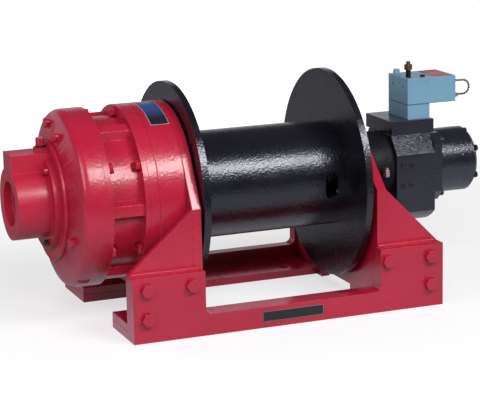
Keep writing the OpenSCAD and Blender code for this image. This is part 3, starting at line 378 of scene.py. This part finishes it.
plate_blacks = (0.016, 0.016, 0.020), (0.011, 0.011, 0.014), (0.05, 0.05, 0.055)
plate_greys = (0.17, 0.17, 0.18), (0.12, 0.12, 0.13), (0.3, 0.3, 0.3)
plate_black = print_ink("plate_black", plate_blacks, peel=0.06, rough=0.35)
plate_grey = print_ink("plate_grey", plate_greys, peel=0.06, rough=0.35)
label("rail_plate", low=(-0.061, -0.2197, 0.0116), high=(0.061, -0.219, 0.031), out=(0, -1, 0), rim=0.0011,
      finish=plate_black, rim_finish=plate_grey)


# End plates, gussets and pads.
# Flame-cut plates, welded to each other inside the rails and painted with them. The end plates carry the drum,
# and the gussets brace them.

for node in ("left_end_plate", "right_end_plate", "gussets", "foot_pads"):
    dressed(node, red_plate, width=0.0012)


# Weld beads.
# A fillet of weld metal in the corner between rail and gusset, laid in short ripples and painted over.

def weld_run(x_start, x_end, side):
    """One bead: a flattened ripple, repeated along the corner."""
    corner = (x_start, side * 0.193, 0.121)
    ripple_pitch, ripple_size, ripple_lean = 0.0034, (0.0036, 0.0046, 0.0046), radians(18)
    bpy.ops.object.select_all(action="DESELECT")
    bpy.ops.mesh.primitive_uv_sphere_add(segments=12, ring_count=8, radius=1, location=corner,
                                         scale=ripple_size)
    run = bpy.context.object
    bpy.ops.object.transform_apply(location=True, rotation=True, scale=True)
    bpy.ops.object.mode_set(mode="EDIT")
    bpy.ops.mesh.select_all(action="SELECT")
    bpy.ops.transform.rotate(value=ripple_lean, orient_axis="Y", center_override=corner)
    bpy.ops.object.mode_set(mode="OBJECT")
    row = run.modifiers.new("row", "ARRAY")
    row.use_relative_offset = False
    row.use_constant_offset = True
    row.constant_offset_displace = (ripple_pitch, 0, 0)
    row.count = int((x_end - x_start) / ripple_pitch) + 1
    bpy.ops.object.modifier_apply(modifier="row")
    return run


front, rear = -1, 1
gearbox_end, motor_end = (-0.303, -0.174), (0.188, 0.303)
runs = [weld_run(*ends, side) for side in (front, rear) for ends in (gearbox_end, motor_end)]
bpy.ops.object.select_all(action="DESELECT")
for run in runs:
    run.select_set(True)
bpy.context.view_layer.objects.active = runs[0]
bpy.ops.object.join()
beads = bpy.context.object
beads.name = beads.data.name = "rippled_beads"
bpy.ops.object.shade_smooth()
red_weld = paint("red_weld_paint", reds, grain=0.12, peel=0.15, rough=0.24, coat=0.30, pitch=0.003)
beads.data.materials.append(red_weld)
put(beads, "frame", "red_paint", "weld_beads")


# Rail bolts and nuts.
# Hexagon bolts of steel through the rails and gussets, with nuts inside, painted over with the frame.

for node in ("rail_bolts", "rail_nuts"):
    dressed(node, red_weld, width=0.0013)


# Drum support.
# An iron casting bolted to the gearbox end plate, with a fine groove round it, under thick red paint. A dark
# label is wrapped round its top, left bare here.

red_cast = paint("red_cast_paint", reds, grain=0.11, peel=0.12, rough=0.28, coat=0.26, pitch=0.0045, waves=0.06)
groove_from, groove_to = -0.24, -0.19
dressed("drum_support", red_cast, width=0.0015, keep=lambda at: at.x < groove_from or at.x > groove_to)


def wrapped(name, x_low, x_high, angle_low, angle_high, radius, finish):
    """A strip that lies round the drum's axis, between two angles up from the front, in degrees."""
    thick = 0.0003
    bpy.ops.object.select_all(action="DESELECT")
    bpy.ops.mesh.primitive_plane_add(size=1, location=((x_low + x_high) / 2, 0, axis_z + radius + thick / 2),
                                     rotation=(radians(90), 0, 0))
    piece = bpy.context.object
    piece.scale = (x_high - x_low, thick, 1)
    piece.name = piece.data.name = name
    bpy.ops.object.transform_apply(location=True, rotation=True, scale=True)
    bpy.ops.object.mode_set(mode="EDIT")
    bpy.ops.mesh.select_all(action="SELECT")
    shape = bmesh.from_edit_mesh(piece.data)
    bmesh.ops.rotate(shape, cent=(0, 0, axis_z), matrix=Matrix.Rotation(radians(90 - angle_low), 3, "X"),
                     verts=shape.verts[:])
    bmesh.update_edit_mesh(piece.data)
    bpy.ops.mesh.spin(steps=18, angle=radians(angle_high - angle_low), center=(0, 0, axis_z), axis=(1, 0, 0))
    bpy.ops.mesh.select_all(action="SELECT")
    bpy.ops.mesh.remove_doubles(threshold=same_point)
    bpy.ops.mesh.normals_make_consistent(inside=False)
    bpy.ops.object.mode_set(mode="OBJECT")
    bpy.ops.object.shade_smooth_by_angle(angle=smooth_below)
    piece.data.materials.append(finish)
    put(piece, "frame", "tag")


band_rim = print_ink("label_rim", ((0.42, 0.44, 0.50), (0.34, 0.36, 0.42), (0.5, 0.5, 0.5)))
band_print, net, shader, place = blank("band_print")
parts = net.nodes.new("ShaderNodeSeparateXYZ")
net.links.new(place, parts.inputs[0])
blue_from, blue_to, band_blue = axis_z + 0.150, axis_z + 0.163, (0.030, 0.075, 0.24)
up = spread(net, parts.outputs["Z"], blue_from, blue_to)
ink = tint(net, noise(net, place, size=0.02), (0.010, 0.012, 0.018), (0.016, 0.018, 0.026))
net.links.new(tint(net, up, ink, band_blue), shader.inputs["Base Color"])
rubbed = spread(net, noise(net, place, size=0.008), *noise_span, to_low=0.18, to_high=0.32)
net.links.new(rubbed, shader.inputs["Roughness"])
dents = relief(net, noise(net, place, size=0.003, detail=2), strength=0.05, depth=0.0004)
net.links.new(dents, shader.inputs["Normal"])
rim_r, print_r = 0.1669, 0.1671
wrapped("band_rim", -0.223, -0.187, 57, 93, rim_r, band_rim)
wrapped("band_label", -0.222, -0.188, 57.4, 92.6, print_r, band_print)


# Ring gear and its bolts.
# The toothed ring is an iron casting under red paint, with a flange at each end and six lands between them.
# Bolts in its pockets hold it between the drum support and the end cover.

def beyond(radius):
    """Picks what lies farther from the drum's axis than a radius."""
    return lambda at: Vector((at.y, at.z - axis_z)).length > radius


tooth_root_r = 0.1405
dressed("ring_gear", red_cast, width=0.0034, segments=4, keep=beyond(tooth_root_r))
dressed("case_bolts", red_cast, width=0.0011)


# End cover and its plugs.
# A turned iron casting with a rounded rim and a sloping face, cut by two scallops, bolted to the ring gear. It
# has three hexagon plugs.

dressed("end_cover", red_cast, width=0.0012)
dressed("cover_plugs", red_cast, width=0.0011)


# Clutch.
# A round iron housing with a square block on it, screwed to the cover through a flange. A piston shows in its
# bore. The screws above the axis are painted red and those below it black, as painted shade on the low side.

red_hub = paint("red_hub_paint", reds, grain=0.10, peel=0.15, rough=0.40, coat=0.12, waves=0.05, gloss=0.18)
for node in ("retainer_plate", "clutch_housing", "clutch_piston"):
    dressed(node, red_hub, width=0.0014)
dressed("port_plug", red_cast, width=0.0011)
screw_blacks = (0.018, 0.016, 0.017), (0.011, 0.010, 0.011), (0.06, 0.055, 0.05)
black_screw = paint("black_screw", screw_blacks, grain=0.02, peel=0.08, rough=0.32)
screws = dressed("hub_screws", black_screw, width=0.0008)
screws.data.materials.append(red_cast)
# Faces above the axis take the red paint; the black below it is painted shade.
for face in screws.data.polygons:
    face.material_index = int(face.center.z > axis_z)
rubber_blacks = (0.018, 0.018, 0.018), (0.012, 0.012, 0.012), (0.03, 0.03, 0.03)
rubber = paint("black_rubber", rubber_blacks, grain=0.06, peel=0.1, rough=0.6)
dressed("port_washer", rubber, width=0.0005, segments=2)
dressed("piston_seal", rubber)


# Drum.
# One iron casting with two wide flanges, which turns between the end plates. Its thick black gloss shows the
# grain of the mould.

def shader_of(finish):
    """The shader of a finish."""
    return finish.node_tree.nodes["Principled BSDF"]


# These blacks lean to blue as a painted reflection of the cool room.
blacks = (0.0078, 0.0080, 0.0125), (0.0050, 0.0052, 0.0080), (0.028, 0.028, 0.034)
cool_gloss = (0.84, 0.87, 1.0, 1.0)
black_drum = paint("black_drum_paint", blacks, grain=0.21, peel=0.10, rough=0.26, coat=0.5, pitch=0.0034,
                   waves=0.12, gloss=0.09)
shader_of(black_drum).inputs["Specular Tint"].default_value = cool_gloss
bore_r = 0.1
dressed("drum", black_drum, width=0.0035, segments=4, keep=beyond(bore_r))


# Brake housing and its fitting.
# A round black iron casting on the motor end plate, duller than the rest, with a small bright fitting for the
# brake line.

black_dull = paint("black_dull_paint", blacks, grain=0.2, peel=0.15, rough=0.5, pitch=0.0044, gloss=0.2)
shader_of(black_dull).inputs["Specular IOR Level"].default_value = 0.2
dressed("brake_housing", black_dull, width=0.002)


def metal(name, bright, dark, rough, marks, turned=False, size=0.004):
    """Bare metal, tarnished in patches, with fine marks that run in rings about the axis if it was turned."""
    finish, net, shader, place = blank(name)
    patches = spread(net, noise(net, place, size * 6, detail=4, rough=0.6), 0.35, 0.65)
    net.links.new(tint(net, patches, dark, bright), shader.inputs["Base Color"])
    shine = spread(net, patches, 0.0, 1.0, to_low=rough * 1.4, to_high=rough * 0.8)
    net.links.new(shine, shader.inputs["Roughness"])
    shader.inputs["Metallic"].default_value = 1
    lines = place
    if turned:
        parts = net.nodes.new("ShaderNodeSeparateXYZ")
        net.links.new(place, parts.inputs[0])
        rise = sums(net, "SUBTRACT", parts.outputs["Z"], axis_z)
        squares = sums(net, "ADD", sums(net, "MULTIPLY", parts.outputs["Y"], parts.outputs["Y"]),
                       sums(net, "MULTIPLY", rise, rise))
        rings = net.nodes.new("ShaderNodeCombineXYZ")
        net.links.new(parts.outputs["X"], rings.inputs["X"])
        net.links.new(sums(net, "SQRT", squares), rings.inputs["Y"])
        lines = rings.outputs[0]
    cut = relief(net, noise(net, lines, size / 5, rough=0.6), strength=marks, depth=0.0003)
    pitted = relief(net, noise(net, place, size / 2), strength=marks * 0.5, depth=0.0003, normal=cut)
    net.links.new(pitted, shader.inputs["Normal"])
    return finish


zinc = metal("bright_zinc", (0.80, 0.80, 0.82), (0.52, 0.53, 0.56), rough=0.22, marks=0.15)
dressed("brake_fitting", zinc, width=0.0009)


# Motor adapter, its plate and plugs, and the manifold.
# Rough iron castings under black gloss, bolted between brake and motor, with a flat block on top that feeds the
# valve.

# These blacks lean to blue as a painted reflection of the cool room.
sand_blacks = (0.0155, 0.0158, 0.0245), (0.0105, 0.0108, 0.0170), (0.028, 0.028, 0.034)
black_cast = paint("black_cast_paint", sand_blacks, grain=0.24, peel=0.14, rough=0.24, coat=0.7, pitch=0.0028,
                   waves=0.05, gloss=0.07)
shader_of(black_cast).inputs["Specular Tint"].default_value = cool_gloss
for node, width in (("motor_adapter", 0.0025), ("adapter_plate", 0.0025), ("manifold_block", 0.0045)):
    dressed(node, black_cast, width)
dressed("adapter_plugs", black_screw, width=0.0006)


# Motor.
# A round hydraulic motor of cast iron, with a bolted flange and end cap, under black gloss.

for node in ("motor_flange", "motor_body", "motor_end_cap"):
    dressed(node, black_cast, width=0.0018)
dressed("motor_bolts", black_screw, width=0.0010)


# Valve blocks and what is on them.
# Two blue-finished blocks, one on the other, with a small brass fitting, a nub, a cap and a loop of ball chain.
# The top carries a red label, left bare but for its bands of colour.

block_blues = (0.185, 0.365, 0.490), (0.155, 0.315, 0.430), (0.30, 0.48, 0.58)
blue = paint("blue_block", block_blues, grain=0.02, peel=0.05, rough=0.36, coat=0.1, pitch=0.002)
net = blue.node_tree
place = next(step for step in net.nodes if step.type == "TEX_COORD").outputs["Object"]
heights = net.nodes.new("ShaderNodeSeparateXYZ")
net.links.new(place, heights.inputs[0])
joint_z = max(spot.co.z for spot in frame["nodes"]["valve_lower"].data.vertices)
from_joint = sums(net, "ABSOLUTE", sums(net, "SUBTRACT", heights.outputs["Z"], joint_z))
# A thin dark line painted along the joint between the two blocks is painted shade.
seam_core, seam_edge, seam_shade = 0.0006, 0.0018, (0.03, 0.06, 0.085)
joint_shade = spread(net, from_joint, seam_core, seam_edge, to_low=0.75, to_high=0.0)
colour_in = shader_of(blue).inputs["Base Color"]
net.links.new(tint(net, joint_shade, colour_in.links[0].from_socket, seam_shade), colour_in)
dressed("valve_lower", blue, width=0.0009)
dressed("valve_upper", blue, width=0.0009)

brass = metal("brass", (0.66, 0.50, 0.27), (0.24, 0.16, 0.08), rough=0.30, marks=0.25, size=0.003)
stem_black = metal("stem_black", (0.10, 0.095, 0.09), (0.035, 0.033, 0.03), rough=0.35, marks=0.2, size=0.003)
fittings = dressed("valve_fittings", brass, width=0.0006)
for finish in (blue, stem_black):
    fittings.data.materials.append(finish)
cap_from_x, stem_to_z = 0.350, 0.4235
for face in fittings.data.polygons:
    at = face.center
    if at.y > 0:
        face.material_index = 1
    elif at.x > cap_from_x or at.z < stem_to_z:
        face.material_index = 2

# The nub is narrower at its top than where it stands on the valve.
valve_top, narrowing = 0.408, 0.28
nub = [spot.co for spot in fittings.data.vertices if spot.co.y > 0]
nub_top = max(at.z for at in nub)
middle = sum(at.x for at in nub) / len(nub)
for at in nub:
    at.x = middle + (at.x - middle) * (1 - narrowing * (at.z - valve_top) / (nub_top - valve_top))

chain_metal = metal("chain_metal", (0.34, 0.29, 0.22), (0.08, 0.07, 0.06), rough=0.3, marks=0.2, size=0.002)
dressed("seal_chain", chain_metal)
lead = metal("lead_seal", (0.52, 0.48, 0.44), (0.30, 0.26, 0.22), rough=0.5, marks=0.4, size=0.003)
dressed("wire_tag", lead, width=0.0008)

label_red = print_ink("label_red", ((0.52, 0.055, 0.125), (0.42, 0.035, 0.085), (0.6, 0.2, 0.25)))
label_deep = print_ink("label_deep", ((0.30, 0.018, 0.030), (0.24, 0.014, 0.024), (0.4, 0.1, 0.1)))
label_orange = print_ink("label_orange", ((0.56, 0.16, 0.035), (0.44, 0.11, 0.03), (0.6, 0.3, 0.2)))
upward = (0, 0, 1)
print_low, label_face, print_face = valve_top + 0.0002, valve_top + 0.0003, valve_top + 0.0004
label("valve_label", (0.384, -0.038, valve_top), (0.425, 0.038, label_face), upward, rim=0.0010,
      finish=label_red, rim_finish=label_deep)
label("valve_label_band", (0.386, 0.012, print_low), (0.423, 0.034, print_face), upward, rim=0.0006,
      finish=label_deep, rim_finish=label_red)
for x in (0.392, 0.405):
    label("valve_label_square_%d" % round(x * 1000), (x, -0.030, print_low), (x + 0.009, -0.019, print_face),
          upward, rim=0.0006, finish=label_orange, rim_finish=label_deep)


# Inner pieces.
# Gears, carriers, shafts, brake discs, springs and vanes: machined steel and bronze under a film of oil, which
# only show when the winch is open.

turned_steel = metal("turned_steel", (0.56, 0.56, 0.57), (0.38, 0.375, 0.36), rough=0.24, marks=0.3,
                     turned=True)
gear_steel = metal("gear_steel", (0.42, 0.41, 0.40), (0.24, 0.23, 0.215), rough=0.28, marks=0.25, size=0.003)
bronze = metal("bronze", (0.34, 0.21, 0.10), (0.20, 0.12, 0.06), rough=0.34, marks=0.3, turned=True)
spring_steel = metal("spring_steel", (0.20, 0.21, 0.24), (0.10, 0.10, 0.12), rough=0.32, marks=0.2, turned=True)
sintered = metal("sintered_bronze", (0.34, 0.26, 0.17), (0.18, 0.14, 0.10), rough=0.55, marks=0.6, size=0.002)
iron_blacks = (0.035, 0.033, 0.032), (0.022, 0.021, 0.020), (0.09, 0.085, 0.08)
black_iron = paint("black_iron", iron_blacks, grain=0.25, peel=0.1, rough=0.5)
for finish, nodes in (
        (turned_steel, ("output_carrier", "input_carrier", "input_shaft", "drum_spigot", "brake_plates",
                        "brake_piston", "motor_rotor", "anchor_screw")),
        (gear_steel, ("output_planet_1", "output_planet_2", "output_planet_3", "input_planet_1",
                      "input_planet_2", "input_planet_3", "output_sun", "motor_vanes")),
        (bronze, ("carrier_bush", "drum_bush")),
        (spring_steel, ("clutch_springs", "brake_springs")),
        (sintered, ("brake_discs",)),
        (black_iron, ("drive_hub",)),
        (black_screw, ("brake_screws",))):
    for node in nodes:
        mesh = frame["nodes"][node].data
        mesh.materials.clear()
        mesh.materials.append(finish)
